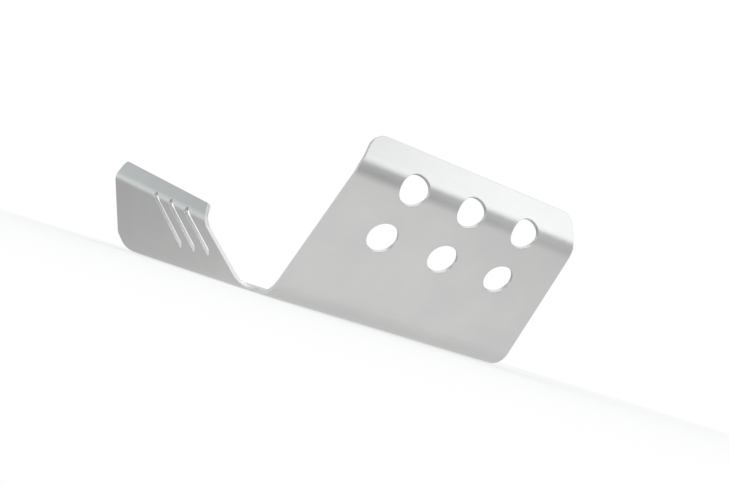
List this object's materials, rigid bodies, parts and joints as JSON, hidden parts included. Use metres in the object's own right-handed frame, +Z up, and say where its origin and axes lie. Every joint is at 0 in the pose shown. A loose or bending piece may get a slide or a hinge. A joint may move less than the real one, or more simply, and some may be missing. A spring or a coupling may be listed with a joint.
{
  "type": "motorcycle engine guard",
  "caption": "Folded aluminium tub that shields the underside and front of a motorcycle engine, with a holed front plate and slotted side wings.",
  "frame": {"origin": "middle of the four fixing holes, on the underside of the floor", "axes": "+X to the motorcycle's left, +Y to its rear, +Z up"},
  "size_m": [0.2656, 0.3919, 0.1188],
  "materials": {
    "aluminium": "satin, finely brushed"
  },
  "bodies": {
    "root": {"guard_plate": "aluminium"}
  },
  "joints": []
}
